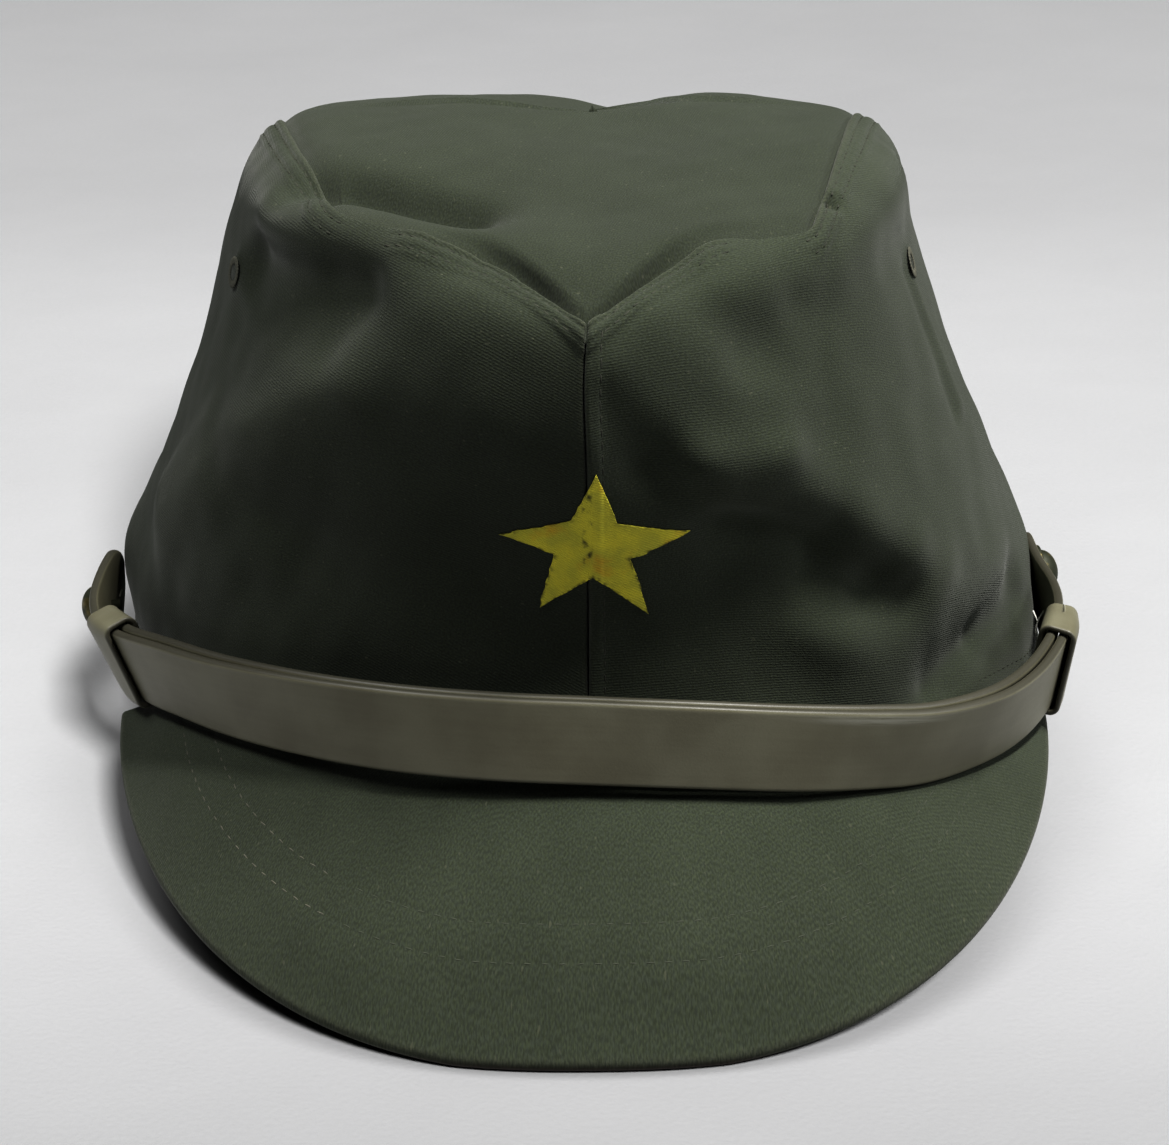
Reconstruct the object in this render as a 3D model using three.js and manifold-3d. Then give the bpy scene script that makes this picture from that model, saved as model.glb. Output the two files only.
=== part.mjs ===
// Field cap: a soft cloth crown of two side panels and a V-pointed top panel, a stiff cloth peak,
// a painted star, two vent eyelets, and a double chin strap with two keepers and two buttons.
// Millimetres, +Z up, the front towards -Y, and left and right are the wearer's, so left is +X.
// The cap rests on the back of its rim and the edge of its peak.
import * as THREE from "three";
import { mergeVertices } from "three/addons/utils/BufferGeometryUtils.js";
import Module from "manifold-3d";

// Cloth, and the gaps that keep the pieces apart
const clothThickness = 1.8;
const pieceGap = 0.3;
const seamAngle = 0.0024;
const seamLevelGap = 0.018;

// Crown sections from the rim up to the middle of the top, one row each. The heights are at the front,
// side and back of the section, the reaches are from the crown's axis, squareness shapes the plan
// (2 is an ellipse), prow pushes the centre-front seam forward, dip lowers it, and shift moves the
// section sideways.
// The cloth settles flat where the rim would dip below the ground, over the levels just above it.
const sectionColumns = 10;
const crownSections = [
  // zFront, zSide, zBack, halfWidth, front, back, squareness, prow, dip, shift
  [34, 12, -4, 88.5, 96, 97, 2.0, 0, 0, -1],
  [45, 26, 13, 87.5, 94.5, 97, 2.0, 0, 0, -1.2],
  [58, 43, 30, 84.7, 93, 95, 2.05, 0.5, 0, -1.2],
  [77, 64, 50, 76.7, 93, 91, 2.2, 3.5, 0, -1.6],
  [95, 89, 73, 67, 92, 84, 2.4, 9.5, 0, -2.3],
  [108, 107, 90, 62, 89, 76, 2.5, 13, 0, -3],
  [119, 117.5, 101, 59, 85.5, 68, 2.5, 13.5, 1.5, -2],
  [125, 122.5, 108, 52, 79, 60, 2.5, 11, 4.5, -1.5],
  [127, 125, 112, 41.5, 64, 50, 2.4, 6, 4, -1],
  [127, 126.5, 117.5, 25, 40, 32, 2.2, 2, 2, 0],
  [124, 124, 124, 0, 0, 0, 2.0, 0, 0, 0],
];
const topLevel = crownSections.length - 1;
const prowHalfWidth = 42;
const settledLevels = 1.6;

// Steps over which the crown's facing direction is taken
const normalTurn = 0.02;
const normalRise = 0.03;

// Where the top panel's seam runs, as section levels against the angle from the front
const seamAngles = [0, 22, 38, 60, 90, 180];
const seamLevels = [6, 6.9, 7.05, 7.05, 6.9, 6.5];

// Soft folds of the cloth: a line in space, the width of the fold and its rise (a dent has a negative rise)
const folds = [
  { name: "hollow behind the right ridge", from: [-46, -48, 125], to: [-20, -62, 123], width: 6.5, rise: -5 },
  { name: "roll of the right ridge", from: [-32, -76, 124], to: [-57, -48, 119], width: 7, rise: 1.5 },
  { name: "right cheek fold", from: [-42, -80, 101], to: [-76, -42, 61], width: 9, rise: 3 },
  { name: "hollow over the right cheek", from: [-59, -49, 106], to: [-44, -76, 108], width: 8, rise: -2.5 },
  { name: "hollow behind the V, right", from: [-17, -82, 121], to: [-2, -91, 118], width: 6, rise: -2 },
  { name: "hollow behind the V, left", from: [2, -91, 118], to: [14, -83, 121], width: 6, rise: -1.5 },
  { name: "left brow", from: [22, -92, 87], to: [60, -64, 57], width: 9, rise: 2.5 },
  { name: "hollow under the left brow", from: [28, -87, 73], to: [48, -76, 63], width: 8, rise: -2.5 },
  { name: "left temple dent", from: [17, -91, 118], to: [28, -86, 109], width: 6, rise: -1.5 },
  { name: "crease towards the left keeper", from: [60, -66, 40], to: [80, -32, 42], width: 6, rise: -2 },
  { name: "press of the strap", from: [-88, -16, 20], to: [-79.5, -41, 23], width: 10, rise: -3.4 },
  { name: "valley down the back", from: [5, 15, 122], to: [4, 60, 106], width: 9, rise: -2.5 },
];

// Peak
const peakThickness = 2.8;
const peakEndGap = 0.65;
const peakHalfAngle = THREE.MathUtils.degToRad(62);
const peakLevel = 0.26;
const peakCentre = 25;
const peakHalfWidth = 87;
const peakSide = -0.6;
const peakReach = 110.3;
const peakSquareness = 2.4;
const peakEdgeSweep = THREE.MathUtils.degToRad(81);
const peakCornerRise = 19;
const peakTipDrop = 1;
const peakBulge = 4;

// Star
const starTips = [
  // direction from the middle in degrees, radius
  [90, 15.6],
  [165, 16.4],
  [235, 15.4],
  [306, 15.6],
  [15, 16.4],
];
const starNotchRadius = 6.3;
const starLevel = 3.02;
const starSide = 1.3;
const starThickness = 0.5;

// Chin strap: the middle line between its two layers, from the wearer's right end to the left end,
// and how far its upper edge leans out, in degrees
const strapRoute = [
  // x, y, z, lean
  [-89.2, -4, 33, -2],
  [-90.2, -16, 32.2, 7],
  [-89.4, -27, 31.7, 18],
  [-86.9, -37, 32, 22],
  [-82, -48, 34, 18],
  [-74, -60.5, 37.2, 13],
  [-63.5, -72.5, 39.4, 8],
  [-50, -84.5, 42, 2],
  [-33, -94, 43.8, -4],
  [-15, -98.5, 44.2, -6],
  [0, -99.2, 43.7, -6],
  [18, -98.6, 42.5, -4],
  [35, -95.6, 40.2, -2],
  [48, -91, 37.9, 4],
  [58, -85.2, 35.7, 9],
  [69.5, -74.4, 33.7, 14],
  [78, -62, 32.3, 12],
  [84.5, -48, 31.9, 9],
  [88, -34.5, 31.4, 7],
  [89.3, -22, 30.8, 3],
  [88.8, -11, 31.5, -5],
  [88.3, -3, 32.5, -8],
  [87.9, 3, 33, -8],
];
const strapWidth = 15;
const strapThickness = 1.7;
const strapLayerGap = 0.5;
const strapTipFull = 7;
const strapTipBlunt = 0.3;
const strapCrowding = 0.8;
const keeperAtRight = 0.127;
const keeperAtLeft = 0.848;
const buttonAtRight = 0.045;
const buttonAtLeft = 0.974;
const tuckBeyondKeeper = 0.03;
const innerTrim = 1;

// Keepers and buttons
const keeperWidth = 11.5;
const keeperWall = 1;
const keeperClearance = 0.5;
const keeperSteps = 4;
const keeperCorner = 1.2;
const leftKeeperSlack = 0.5;
const buttonRadius = 5.2;
const buttonHeight = 3.2;
const buttonRim = 0.8;
const buttonShoulder = 0.75;
const shankRadius = 1;
const shankHole = 1.6;

// Vent eyelets
const eyeletOuterRadius = 3;
const eyeletInnerRadius = 1.5;
const eyeletHeight = 0.9;
const eyeletLevel = 4.75;
const eyeletAngleLeft = THREE.MathUtils.degToRad(59);
const eyeletAngleRight = THREE.MathUtils.degToRad(-55);

// Fineness of the round pieces, and how far the cutters reach through
const roundSegments = 20;
const domeSteps = 5;
const ringSteps = 3;
const cornerSteps = 4;
const cutterReach = 8;

// Looks
const cloth = { color: 0x4a5140, roughness: 0.95, metalness: 0 };
const leather = { color: 0x5d5848, roughness: 0.5, metalness: 0 };
const paint = { color: 0xb5a42c, roughness: 0.8, metalness: 0 };
const bronze = { color: 0x4c4b33, roughness: 0.4, metalness: 0.7 };
const thread = { color: 0x8a8a78, roughness: 0.9, metalness: 0 };

const wasm = await Module();
wasm.setup();
const cap = new THREE.Group();

function addPiece(name, geometry, look) {
  const mesh = new THREE.Mesh(geometry, new THREE.MeshStandardMaterial(look));
  mesh.name = name;
  cap.add(mesh);
}

// Joins equal points and drops the triangles that have shrunk to a line
function joined(geometry) {
  const whole = new THREE.BufferGeometry();
  whole.setAttribute("position", geometry.getAttribute("position"));
  whole.setIndex(geometry.getIndex());
  const merged = mergeVertices(whole, 1e-3);
  const kept = [];
  const corners = merged.index.array;
  for (let i = 0; i < corners.length; i += 3) {
    const [a, b, c] = corners.slice(i, i + 3);
    if (a !== b && b !== c && c !== a) kept.push(a, b, c);
  }
  merged.setIndex(kept);
  merged.computeVertexNormals();
  return merged;
}

function solidOf(geometry) {
  const whole = joined(geometry);
  const vertProperties = new Float32Array(whole.getAttribute("position").array);
  const triVerts = new Uint32Array(whole.index.array);
  return new wasm.Manifold(new wasm.Mesh({ numProp: 3, vertProperties, triVerts }));
}

function cutFrom(geometry, tool) {
  const { vertProperties, triVerts } = solidOf(geometry).subtract(solidOf(tool)).getMesh();
  const left = new THREE.BufferGeometry();
  left.setAttribute("position", new THREE.BufferAttribute(vertProperties, 3));
  left.setIndex(new THREE.BufferAttribute(triVerts, 1));
  left.computeVertexNormals();
  return left;
}

// A closed wall between an outer and an inner surface, both given by shares of the way up and along.
// In a ring the ends of the columns meet.
function wall(rows, columns, outer, inner, ring = false) {
  const points = [];
  for (const surface of [outer, inner]) {
    for (let row = 0; row <= rows; row++) {
      for (let column = 0; column <= columns; column++) {
        points.push(surface(row / rows, column / columns));
      }
    }
  }
  const at = (side, row, column) => (side * (rows + 1) + row) * (columns + 1) + column;
  const corners = [];
  const quad = (a, b, c, d) => corners.push(a, b, c, a, c, d);
  for (let row = 0; row < rows; row++) {
    for (let column = 0; column < columns; column++) {
      const [up, on] = [row + 1, column + 1];
      quad(at(0, row, column), at(0, row, on), at(0, up, on), at(0, up, column));
      quad(at(1, row, column), at(1, up, column), at(1, up, on), at(1, row, on));
    }
  }
  for (let column = 0; column < columns; column++) {
    const on = column + 1;
    quad(at(1, 0, column), at(1, 0, on), at(0, 0, on), at(0, 0, column));
    quad(at(0, rows, column), at(0, rows, on), at(1, rows, on), at(1, rows, column));
  }
  for (let row = 0; row < rows && !ring; row++) {
    const up = row + 1;
    quad(at(0, row, 0), at(0, up, 0), at(1, up, 0), at(1, row, 0));
    quad(at(1, row, columns), at(1, up, columns), at(0, up, columns), at(0, row, columns));
  }
  return joined(new THREE.BufferGeometry().setFromPoints(points).setIndex(corners));
}

// The crown's shape before folding, at an angle from the front and a level in the section table
const sectionSpline = new THREE.CubicInterpolant(
  crownSections.map((_, row) => row),
  crownSections.flat(),
  sectionColumns,
);
const heightRound = ([zFront, zSide, zBack], cosine) =>
  zSide + ((zFront - zBack) / 2) * cosine + ((zFront + zBack) / 2 - zSide) * cosine ** 2;
function crownBase(angle, level) {
  const section = sectionSpline.evaluate(level);
  const [, zSide, , halfWidth, front, back, squareness, prow, dip, shift] = section;
  if (level >= topLevel) return new THREE.Vector3(shift, 0, zSide);
  const sine = Math.sin(angle);
  const cosine = Math.cos(angle);
  const across = Math.abs(sine / halfWidth) ** squareness;
  const along = Math.abs(cosine / (cosine > 0 ? front : back)) ** squareness;
  const radius = (across + along) ** (-1 / squareness);
  const x = radius * sine;
  const ahead = cosine > 0 ? Math.max(0, 1 - Math.abs(x) / prowHalfWidth) : 0;
  const sunk = Math.max(0, -heightRound(crownSections[0], cosine));
  const z = heightRound(section, cosine) - dip * ahead + sunk * Math.max(0, 1 - level / settledLevels);
  return new THREE.Vector3(x + shift * (1 - ahead / 2), -radius * cosine - prow * ahead, z);
}

function normalOf(surface, angle, level) {
  if (level >= topLevel) return new THREE.Vector3(0, 0, 1);
  const around = surface(angle + normalTurn, level).sub(surface(angle - normalTurn, level));
  const upward = surface(angle, level + normalRise).sub(surface(angle, level - normalRise));
  return around.cross(upward).normalize();
}

const foldLines = folds.map(({ from, to, width, rise }) => {
  const line = new THREE.Line3(new THREE.Vector3(...from), new THREE.Vector3(...to));
  return { line, width, rise };
});
function foldRise(point) {
  const nearest = new THREE.Vector3();
  let total = 0;
  for (const { line, width, rise } of foldLines) {
    line.closestPointToPoint(point, true, nearest);
    total += rise * Math.exp(-((nearest.distanceTo(point) / width) ** 2));
  }
  return total;
}

// The crown's outer face, folds included
function crownFace(angle, level) {
  const base = crownBase(angle, level);
  return base.addScaledVector(normalOf(crownBase, angle, level), foldRise(base));
}

// A point beside the crown's outer face, level with it where it is on the rim
function crownAt(angle, level, offset) {
  const normal = normalOf(crownFace, angle, level);
  if (level === 0) normal.setZ(0).normalize();
  return crownFace(angle, level).addScaledVector(normal, offset);
}

const seamSpline = new THREE.CubicInterpolant(seamAngles, seamLevels, 1);
function seamLevel(angle) {
  const turned = Math.abs(THREE.MathUtils.euclideanModulo(angle + Math.PI, 2 * Math.PI) - Math.PI);
  return seamSpline.evaluate(THREE.MathUtils.radToDeg(turned))[0];
}

// A side panel, from the centre-front seam to the centre-back seam
function sidePanel(start) {
  const panelRows = 14;
  const panelColumns = 30;
  const face = (offset) => (up, along) => {
    const angle = start + seamAngle + (Math.PI - 2 * seamAngle) * along;
    return crownAt(angle, up * (seamLevel(angle) - seamLevelGap), offset);
  };
  return wall(panelRows, panelColumns, face(0), face(-clothThickness));
}

// The top panel, from its seam to the middle of the top
function topPanel() {
  const topRows = 5;
  const topColumns = 60;
  const face = (offset) => (up, along) => {
    const angle = 2 * Math.PI * along;
    const lowest = seamLevel(angle) + seamLevelGap;
    return crownAt(angle, THREE.MathUtils.lerp(lowest, topLevel, up), offset);
  };
  return wall(topRows, topColumns, face(0), face(-clothThickness), true);
}

// The peak, from its free edge up to the crown
function peakPiece() {
  const peakRows = 6;
  const peakColumns = 28;
  const face = (footLevel, drop) => (up, along) => {
    const turn = 2 * along - 1;
    const foot = crownAt(turn * peakHalfAngle, footLevel, pieceGap + peakEndGap * turn ** 6);
    const sweep = turn * peakEdgeSweep;
    const across = Math.abs(Math.sin(sweep) / peakHalfWidth) ** peakSquareness;
    const ahead = Math.abs(Math.cos(sweep) / peakReach) ** peakSquareness;
    const radius = (across + ahead) ** (-1 / peakSquareness);
    const rise = (peakCornerRise * (1 - Math.cos(Math.PI * turn))) / 2 - peakTipDrop;
    const height = peakThickness - drop + Math.max(0, rise);
    const [x, y] = [peakSide + radius * Math.sin(sweep), -peakCentre - radius * Math.cos(sweep)];
    const point = new THREE.Vector3(x, y, height).lerp(foot, up);
    point.z += peakBulge * 4 * up * (1 - up) * (1 - turn ** 2) ** 2;
    return point;
  };
  return wall(peakRows, peakColumns, face(peakLevel, 0), face(0, peakThickness));
}

// The star, laid over the front of the crown across the centre-front seam
function starPiece() {
  const starRows = 2;
  const stepsPerSide = 2;
  const sides = 2 * starTips.length;
  const side = crownFace(0, starLevel + 0.5).distanceTo(crownFace(0, starLevel - 0.5));
  const reach = Math.abs(crownFace(0, starLevel).y);
  const corner = (count) => {
    const notch = count % 2 === 1;
    const [degrees, radius] = starTips[Math.floor((count % sides) / 2)];
    const between = Math.PI / 2 + (count * Math.PI) / starTips.length;
    const angle = notch ? between : THREE.MathUtils.degToRad(degrees);
    const reached = notch ? starNotchRadius : radius;
    return new THREE.Vector2(reached * Math.cos(angle), reached * Math.sin(angle));
  };
  const face = (offset) => (inward, along) => {
    const step = along * sides;
    const before = Math.floor(step);
    const spot = corner(before).lerp(corner(before + 1), step - before).multiplyScalar(1 - inward);
    return crownAt((starSide + spot.x) / reach, starLevel + spot.y / side, offset);
  };
  return wall(starRows, sides * stepsPerSide, face(pieceGap + starThickness), face(pieceGap), true);
}

// Chin strap: a place along the route, with its directions along, up and outward
const strapCurve = new THREE.CatmullRomCurve3(strapRoute.map(([x, y, z]) => new THREE.Vector3(x, y, z)));
const leanSpline = new THREE.CubicInterpolant(
  strapRoute.map((_, row) => row / (strapRoute.length - 1)),
  strapRoute.map((row) => row[3]),
  1,
);
function strapFrame(share) {
  const along = strapCurve.getTangentAt(share);
  const up = new THREE.Vector3(0, 0, 1).addScaledVector(along, -along.z).normalize();
  const lean = leanSpline.evaluate(strapCurve.getUtoTmapping(share))[0];
  up.applyAxisAngle(along, THREE.MathUtils.degToRad(lean));
  return { at: strapCurve.getPointAt(share), along, up, out: along.clone().cross(up) };
}

const layerOffset = (strapThickness + strapLayerGap) / 2;
// A layer of the strap, with its lower edge trimmed where it passes above the peak
function strapLayer(from, to, offset, trim) {
  const strapColumns = 54;
  const length = strapCurve.getLength() * (to - from);
  const crowding = strapCrowding / (2 * Math.PI);
  const face = (side) => (up, along) => {
    const eased = along - crowding * Math.sin(2 * Math.PI * along);
    const place = strapFrame(THREE.MathUtils.lerp(from, to, eased));
    const toTip = Math.min(eased, 1 - eased) * length;
    const away = Math.max(0, 1 - toTip / strapTipFull);
    const half = ((strapWidth - trim) / 2) * Math.max(strapTipBlunt, Math.sqrt(1 - away ** 2));
    return place.at
      .addScaledVector(place.up, half * (2 * up - 1) + trim / 2)
      .addScaledVector(place.out, offset + (side * strapThickness) / 2);
  };
  return wall(1, strapColumns, face(1), face(-1));
}

// Turns a piece made about the origin, x outward and y up, into its place on the strap
function placeOnStrap(geometry, share, outward) {
  const { at, along, up, out } = strapFrame(share);
  const turn = new THREE.Matrix4().makeBasis(out, up, along.clone().negate());
  turn.setPosition(at.addScaledVector(out, outward));
  return geometry.applyMatrix4(turn);
}

function shankTool(share) {
  const tool = new THREE.CylinderGeometry(shankHole, shankHole, cutterReach, roundSegments);
  tool.rotateZ(-Math.PI / 2);
  return placeOnStrap(tool, share, 0);
}

function roundedBox(path, inner, outer, half, corner) {
  path.moveTo(outer, -half + corner);
  path.absarc(outer - corner, half - corner, corner, 0, Math.PI / 2);
  path.absarc(inner + corner, half - corner, corner, Math.PI / 2, Math.PI);
  path.absarc(inner + corner, -half + corner, corner, Math.PI, 1.5 * Math.PI);
  path.absarc(outer - corner, -half + corner, corner, 1.5 * Math.PI, 2 * Math.PI);
  return path;
}

// A keeper: a loop round both layers of the strap, bent along it
function keeper(share, slack) {
  const inside = strapThickness + strapLayerGap / 2 + keeperClearance;
  const half = strapWidth / 2 + keeperClearance;
  const [low, high] = [-inside - keeperWall, inside + slack + keeperWall];
  const loop = new THREE.Shape();
  roundedBox(loop, low, high, half + keeperWall, keeperCorner + keeperWall);
  loop.holes.push(roundedBox(new THREE.Path(), -inside, inside + slack, half, keeperCorner));
  const options = { depth: keeperWidth, steps: keeperSteps, bevelEnabled: false, curveSegments: cornerSteps };
  const band = joined(new THREE.ExtrudeGeometry(loop, options).translate(0, 0, -keeperWidth / 2));
  const corners = band.getAttribute("position");
  for (let i = 0; i < corners.count; i++) {
    const { at, up, out } = strapFrame(share - corners.getZ(i) / strapCurve.getLength());
    at.addScaledVector(out, corners.getX(i)).addScaledVector(up, corners.getY(i));
    corners.setXYZ(i, at.x, at.y, at.z);
  }
  band.computeVertexNormals();
  return band;
}

// A domed button with a shank that goes through its strap end and stops just off the crown's panel
function button(share, offset, panel) {
  const standing = offset + strapThickness / 2 + pieceGap;
  const { at, out } = strapFrame(share);
  const inward = new THREE.Raycaster(at.addScaledVector(out, standing), out.clone().negate());
  const shankLength = inward.intersectObject(new THREE.Mesh(panel))[0].distance - pieceGap;
  const dome = new THREE.Path();
  dome.moveTo(0, -shankLength);
  dome.lineTo(shankRadius, -shankLength);
  dome.lineTo(shankRadius, 0);
  dome.lineTo(buttonRadius - buttonRim / 2, 0);
  dome.lineTo(buttonRadius, buttonRim / 2);
  dome.lineTo(buttonRadius, buttonRim);
  dome.quadraticCurveTo(buttonRadius * buttonShoulder, buttonHeight, 0, buttonHeight);
  const turned = new THREE.LatheGeometry(dome.getPoints(domeSteps), roundSegments).rotateZ(-Math.PI / 2);
  return placeOnStrap(joined(turned), share, standing);
}

// A thread-bound vent eyelet, made about the origin with z outward
function eyeletPlace(angle) {
  const place = crownFace(angle, eyeletLevel);
  const normal = normalOf(crownFace, angle, eyeletLevel);
  const turn = new THREE.Quaternion().setFromUnitVectors(new THREE.Vector3(0, 0, 1), normal);
  return new THREE.Matrix4().compose(place, turn, new THREE.Vector3(1, 1, 1));
}

function eyelet(angle) {
  const ring = new THREE.Path();
  ring.moveTo(eyeletInnerRadius, pieceGap);
  ring.lineTo(eyeletOuterRadius, pieceGap);
  const [low, high] = [pieceGap + eyeletHeight / 2, pieceGap + eyeletHeight];
  ring.quadraticCurveTo(eyeletOuterRadius, high, (eyeletInnerRadius + eyeletOuterRadius) / 2, high);
  ring.quadraticCurveTo(eyeletInnerRadius, high, eyeletInnerRadius, low);
  ring.closePath();
  const turned = new THREE.LatheGeometry(ring.getPoints(ringSteps), roundSegments).rotateX(Math.PI / 2);
  return joined(turned).applyMatrix4(eyeletPlace(angle));
}

function ventHole(angle) {
  const tool = new THREE.CylinderGeometry(eyeletInnerRadius, eyeletInnerRadius, cutterReach, roundSegments);
  return tool.rotateX(Math.PI / 2).applyMatrix4(eyeletPlace(angle));
}

const leftPanel = cutFrom(sidePanel(0), ventHole(eyeletAngleLeft));
const rightPanel = cutFrom(sidePanel(-Math.PI), ventHole(eyeletAngleRight));
addPiece("crown_side_left", leftPanel, cloth);
addPiece("crown_side_right", rightPanel, cloth);
addPiece("crown_top", topPanel(), cloth);
addPiece("peak", peakPiece(), cloth);
addPiece("star", starPiece(), paint);
addPiece("vent_eyelet_left", eyelet(eyeletAngleLeft), thread);
addPiece("vent_eyelet_right", eyelet(eyeletAngleRight), thread);
const outerEnd = keeperAtLeft + tuckBeyondKeeper;
const innerStart = keeperAtRight - tuckBeyondKeeper;
const outerLayer = cutFrom(strapLayer(0, outerEnd, layerOffset, 0), shankTool(buttonAtRight));
const innerLayer = cutFrom(strapLayer(innerStart, 1, -layerOffset, innerTrim), shankTool(buttonAtLeft));
addPiece("chin_strap_outer", outerLayer, leather);
addPiece("chin_strap_inner", innerLayer, leather);
addPiece("keeper_right", keeper(keeperAtRight, 0), leather);
addPiece("keeper_left", keeper(keeperAtLeft, leftKeeperSlack), leather);
addPiece("button_right", button(buttonAtRight, layerOffset, rightPanel), bronze);
addPiece("button_left", button(buttonAtLeft, -layerOffset, leftPanel), bronze);

// The origin is the middle of the box on the ground
const box = new THREE.Box3().setFromObject(cap);
for (const piece of cap.children) {
  piece.position.set(-(box.min.x + box.max.x) / 2, -(box.min.y + box.max.y) / 2, -box.min.z);
}

export default cap;
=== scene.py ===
import math

import bmesh
import bpy
import numpy as np
from mathutils import Matrix, Vector


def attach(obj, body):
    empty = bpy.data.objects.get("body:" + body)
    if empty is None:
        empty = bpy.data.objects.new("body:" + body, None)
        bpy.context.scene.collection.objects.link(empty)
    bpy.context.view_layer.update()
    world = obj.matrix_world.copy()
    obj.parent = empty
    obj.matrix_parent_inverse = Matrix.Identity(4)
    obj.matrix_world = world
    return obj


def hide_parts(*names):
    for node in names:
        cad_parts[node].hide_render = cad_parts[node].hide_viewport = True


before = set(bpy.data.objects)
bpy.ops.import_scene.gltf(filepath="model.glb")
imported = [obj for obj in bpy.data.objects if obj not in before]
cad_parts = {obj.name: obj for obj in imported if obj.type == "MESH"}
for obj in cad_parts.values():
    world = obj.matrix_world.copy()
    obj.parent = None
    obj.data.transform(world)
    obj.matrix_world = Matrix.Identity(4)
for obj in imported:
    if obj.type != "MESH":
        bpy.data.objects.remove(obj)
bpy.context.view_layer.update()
print("frame loaded:", len(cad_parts), "nodes")

# Sizes are in millimetres about the crown's axis, left and right are the wearer's, left is +X
mm = 0.001
capShift = np.array([1.78054, 19.09261, 0.0])  # crown's axis to the frame's origin
scatter = np.random.default_rng(11)


def toFrame(points):
    return (np.asarray(points, float) + capShift) * mm


def unit(vectors):
    return vectors / np.maximum(np.linalg.norm(vectors, axis=-1, keepdims=True), 1e-9)


def smoothStep(low, high, value):
    share = np.clip((value - low) / (high - low), 0, 1)
    return share * share * (3 - 2 * share)


def bell(value, width):
    return np.exp(-((value / width) ** 2))


# A cubic through the table's rows, held at its ends
def splineRows(stops, table, at):
    stops = np.asarray(stops, float)
    table = np.asarray(table, float)
    at = np.clip(at, stops[0], stops[-1])
    low = np.clip(np.searchsorted(stops, at, side="right") - 1, 0, len(stops) - 2)
    first = low == 0
    last = low == len(stops) - 2
    before = np.where(first, low + 1, low - 1)
    after = np.where(last, low, np.minimum(low + 2, len(stops) - 1))
    start, end = stops[low], stops[low + 1]
    half = (end - start) / 2
    backWeight = np.where(first, -0.5, half / np.where(first, 1, start - stops[before]))
    foreWeight = np.where(last, -0.5, half / np.where(last, 1, stops[after] - end))
    share = (at - start) / (end - start)
    square, cube = share**2, share**3
    weights = [
        (before, backWeight * (2 * square - cube - share)),
        (low, (1 + backWeight) * cube - (1.5 + 2 * backWeight) * square + (backWeight - 0.5) * share + 1),
        (low + 1, (1.5 + foreWeight) * square - (1 + foreWeight) * cube + 0.5 * share),
        (after, foreWeight * (cube - square)),
    ]
    if table.ndim == 1:
        return sum(weight * table[row] for row, weight in weights)
    return sum(weight[..., None] * table[row] for row, weight in weights)


# The crown's sections from the rim to the middle of the top
crown = {
    "sections": [
        # zFront, zSide, zBack, halfWidth, front, back, squareness, prow, dip, shift
        (34, 12, -4, 88.5, 96, 97, 2.0, 0, 0, -1),
        (45, 26, 13, 87.5, 94.5, 97, 2.0, 0, 0, -1.2),
        (58, 43, 30, 84.7, 93, 95, 2.05, 0.5, 0, -1.2),
        (77, 64, 50, 76.7, 93, 91, 2.2, 3.5, 0, -1.6),
        (95, 89, 73, 67, 92, 84, 2.4, 9.5, 0, -2.3),
        (108, 107, 90, 62, 89, 76, 2.5, 13, 0, -3),
        (119, 117.5, 101, 59, 85.5, 68, 2.5, 13.5, 1.5, -2),
        (125, 122.5, 108, 52, 79, 60, 2.5, 11, 4.5, -1.5),
        (127, 125, 112, 41.5, 64, 50, 2.4, 6, 4, -1),
        (127, 126.5, 117.5, 25, 40, 32, 2.2, 2, 2, 0),
        (124, 124, 124, 0, 0, 0, 2.0, 0, 0, 0),
    ],
    "prowHalfWidth": 42,
    "frontReach": 97,
    "backReach": 92,
    "settledLevels": 1.6,
    # the top seam: degrees from the front, level
    "seamLeft": [
        (0, 6.1), (3.7, 6.6), (8.2, 7.04), (13, 7.26), (17.5, 7.3), (23.8, 6.92), (29.8, 6.6),
        (32, 6.78), (36.2, 7.02), (45, 7.3), (59, 7.4), (83, 7.2), (120, 6.4), (180, 5.8),
    ],
    "seamRight": [
        (0, 6.1), (3.5, 6.64), (7.8, 7.02), (13, 7.2), (18, 7.15), (22.5, 7.06), (27, 6.86),
        (32.2, 6.74), (44.5, 7.1), (58.8, 7.1), (75, 6.96), (120, 6.35), (180, 5.8),
    ],
    "cloth": 1.8,
    "folds": [
        # from, to, width, rise
        ((-46, -48, 125), (-20, -62, 123), 6.5, -5),  # hollow behind the right ridge
        ((-32, -76, 124), (-57, -48, 119), 7, 1.5),  # roll of the right ridge
        ((-42, -80, 101), (-76, -42, 61), 9, 3),  # right cheek
        ((-59, -49, 106), (-44, -76, 108), 8, -2.5),  # over the right cheek
        ((-17, -82, 121), (-2, -91, 118), 6, -2),  # behind the V
        ((2, -91, 118), (14, -83, 121), 6, -1.5),
        ((22, -92, 87), (60, -64, 57), 9, 2.5),  # left brow
        ((28, -87, 73), (48, -76, 63), 8, -2.5),  # under the left brow
        ((17, -91, 118), (28, -86, 109), 6, -1.5),  # left temple
        ((60, -66, 40), (80, -32, 42), 6, -2),  # towards the left keeper
        ((-88, -16, 20), (-79.5, -41, 23), 10, -3.4),  # press of the strap
        ((5, 15, 122), (4, 60, 106), 9, -2.5),  # down the back
    ],
}
topLevel = len(crown["sections"]) - 1
turnStep, levelStep = 0.02, 0.03


def heightRound(zFront, zSide, zBack, cosine):
    return zSide + (zFront - zBack) / 2 * cosine + ((zFront + zBack) / 2 - zSide) * cosine**2


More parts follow.
